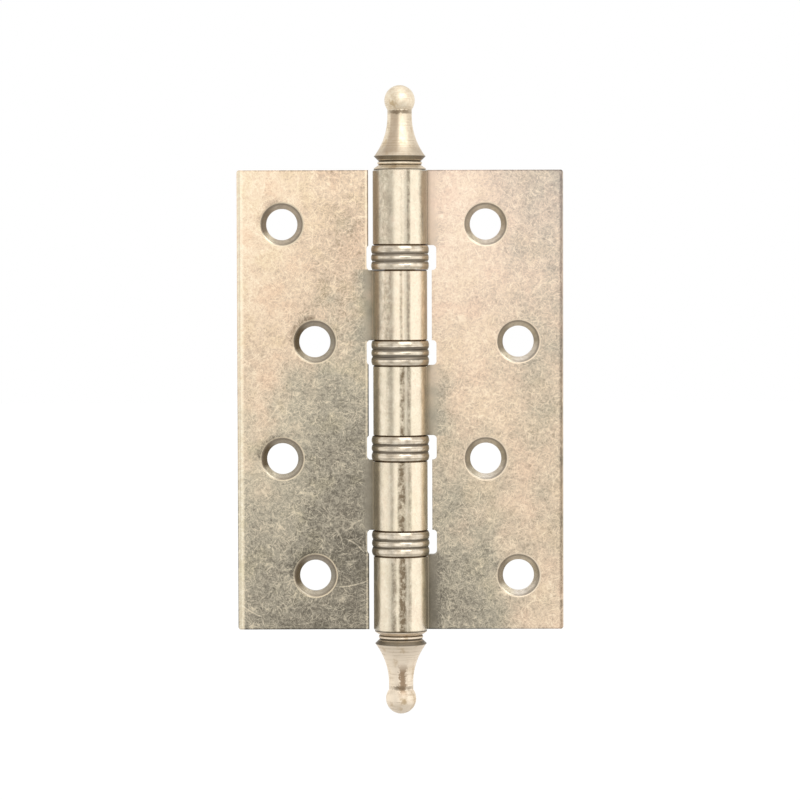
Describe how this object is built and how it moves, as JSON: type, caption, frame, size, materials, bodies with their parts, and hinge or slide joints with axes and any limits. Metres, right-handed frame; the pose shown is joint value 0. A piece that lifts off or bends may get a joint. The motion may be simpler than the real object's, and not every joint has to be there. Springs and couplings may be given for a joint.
{
  "type": "butt hinge",
  "caption": "Open ball-bearing butt hinge with countersunk staggered screw holes, rolled knuckles and crown finials.",
  "frame": {"origin": "on the pin's axis, at the mid height of the leaves", "axes": "+Z along the pin to the top finial, +Y out of the leaves' backs, +X to the frame leaf; leaves open flat"},
  "size_m": [0.071, 0.0126, 0.1366],
  "materials": {
    "leaf": "steel sheet plated in a pale warm brass tone, dulled and finely scratched",
    "pin": "plain drawn steel",
    "finial": "turned, plated in a pale brass tone with fine turning lines",
    "race": "turned steel plated in a pale brass tone",
    "retainer": "turned, plated in a pale brass tone",
    "ball": "polished bearing steel"
  },
  "bodies": {
    "frame_side": {"frame_leaf": "leaf", "hinge_pin": "pin", "top_finial": "finial", "bottom_finial": "finial", "upper_race_1": "race", "lower_race_2": "race", "upper_race_3": "race", "lower_race_4": "race"},
    "door_side": {"door_leaf": "leaf", "lower_race_1": "race", "upper_race_2": "race", "lower_race_3": "race", "upper_race_4": "race"},
    "retainer_1": {"ball_retainer_1": "retainer", "bearing_balls_1": "ball"},
    "retainer_2": {"ball_retainer_2": "retainer", "bearing_balls_2": "ball"},
    "retainer_3": {"ball_retainer_3": "retainer", "bearing_balls_3": "ball"},
    "retainer_4": {"ball_retainer_4": "retainer", "bearing_balls_4": "ball"}
  },
  "joints": [
    {"name": "leaf_swing", "type": "hinge", "parent": "frame_side", "child": "door_side", "pos_m": [0, 0, 0], "axis": [0, 0, 1], "range_deg": [-115, 180]},
    {"name": "retainer_1_turn", "type": "hinge", "parent": "frame_side", "child": "retainer_1", "pos_m": [0, 0, 0], "axis": [0, 0, 1], "range_deg": [-57.5, 90]},
    {"name": "retainer_2_turn", "type": "hinge", "parent": "frame_side", "child": "retainer_2", "pos_m": [0, 0, 0], "axis": [0, 0, 1], "range_deg": [-57.5, 90]},
    {"name": "retainer_3_turn", "type": "hinge", "parent": "frame_side", "child": "retainer_3", "pos_m": [0, 0, 0], "axis": [0, 0, 1], "range_deg": [-57.5, 90]},
    {"name": "retainer_4_turn", "type": "hinge", "parent": "frame_side", "child": "retainer_4", "pos_m": [0, 0, 0], "axis": [0, 0, 1], "range_deg": [-57.5, 90]}
  ],
  "couplings": [
    {"joint": "retainer_1_turn", "follows": "leaf_swing", "ratio": 0.5},
    {"joint": "retainer_2_turn", "follows": "leaf_swing", "ratio": 0.5},
    {"joint": "retainer_3_turn", "follows": "leaf_swing", "ratio": 0.5},
    {"joint": "retainer_4_turn", "follows": "leaf_swing", "ratio": 0.5}
  ]
}
